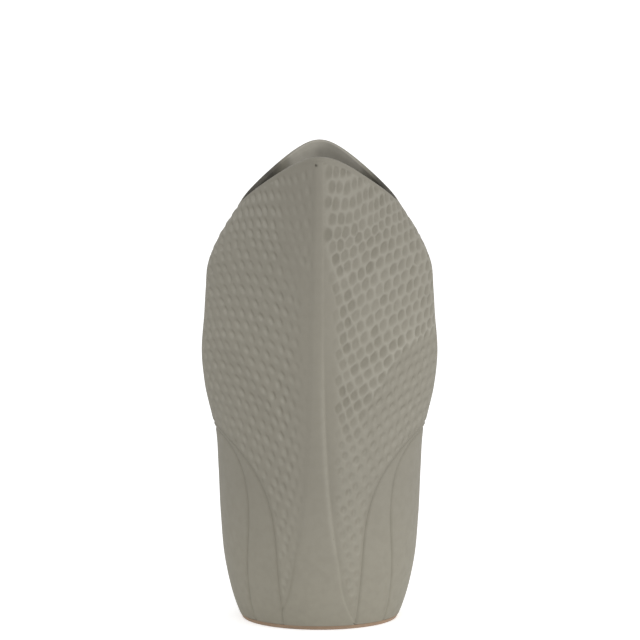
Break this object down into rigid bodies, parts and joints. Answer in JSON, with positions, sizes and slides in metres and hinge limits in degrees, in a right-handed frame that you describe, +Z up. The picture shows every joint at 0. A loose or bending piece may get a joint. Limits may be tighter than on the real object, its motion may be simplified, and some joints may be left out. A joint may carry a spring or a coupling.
{
  "type": "flower vase",
  "caption": "Ceramic vase, round at the foot and diamond-shaped at the mouth, clad in dimpled leaves with raised tips, with nested arched sheaths between",
  "frame": {"origin": "centre of the foot's underside, on the surface that the vase stands on", "axes": "+Z up along the vase, -Y towards the front leaf, +X to the right side as seen from the front"},
  "size_m": [0.1766, 0.1556, 0.355],
  "materials": {
    "glaze": "soft matte, warm grey",
    "bare_clay": "unglazed, pinkish"
  },
  "bodies": {
    "root": {"foot_ring": "bare_clay", "floor_slab": "glaze", "vessel_wall": "glaze", "front_blade_right": "glaze", "front_blade_left": "glaze", "front_midrib": "glaze", "back_blade_right": "glaze", "back_blade_left": "glaze", "back_midrib": "glaze", "right_outer_sheath": "glaze", "left_outer_sheath": "glaze", "right_inner_sheath": "glaze", "left_inner_sheath": "glaze"}
  },
  "joints": []
}
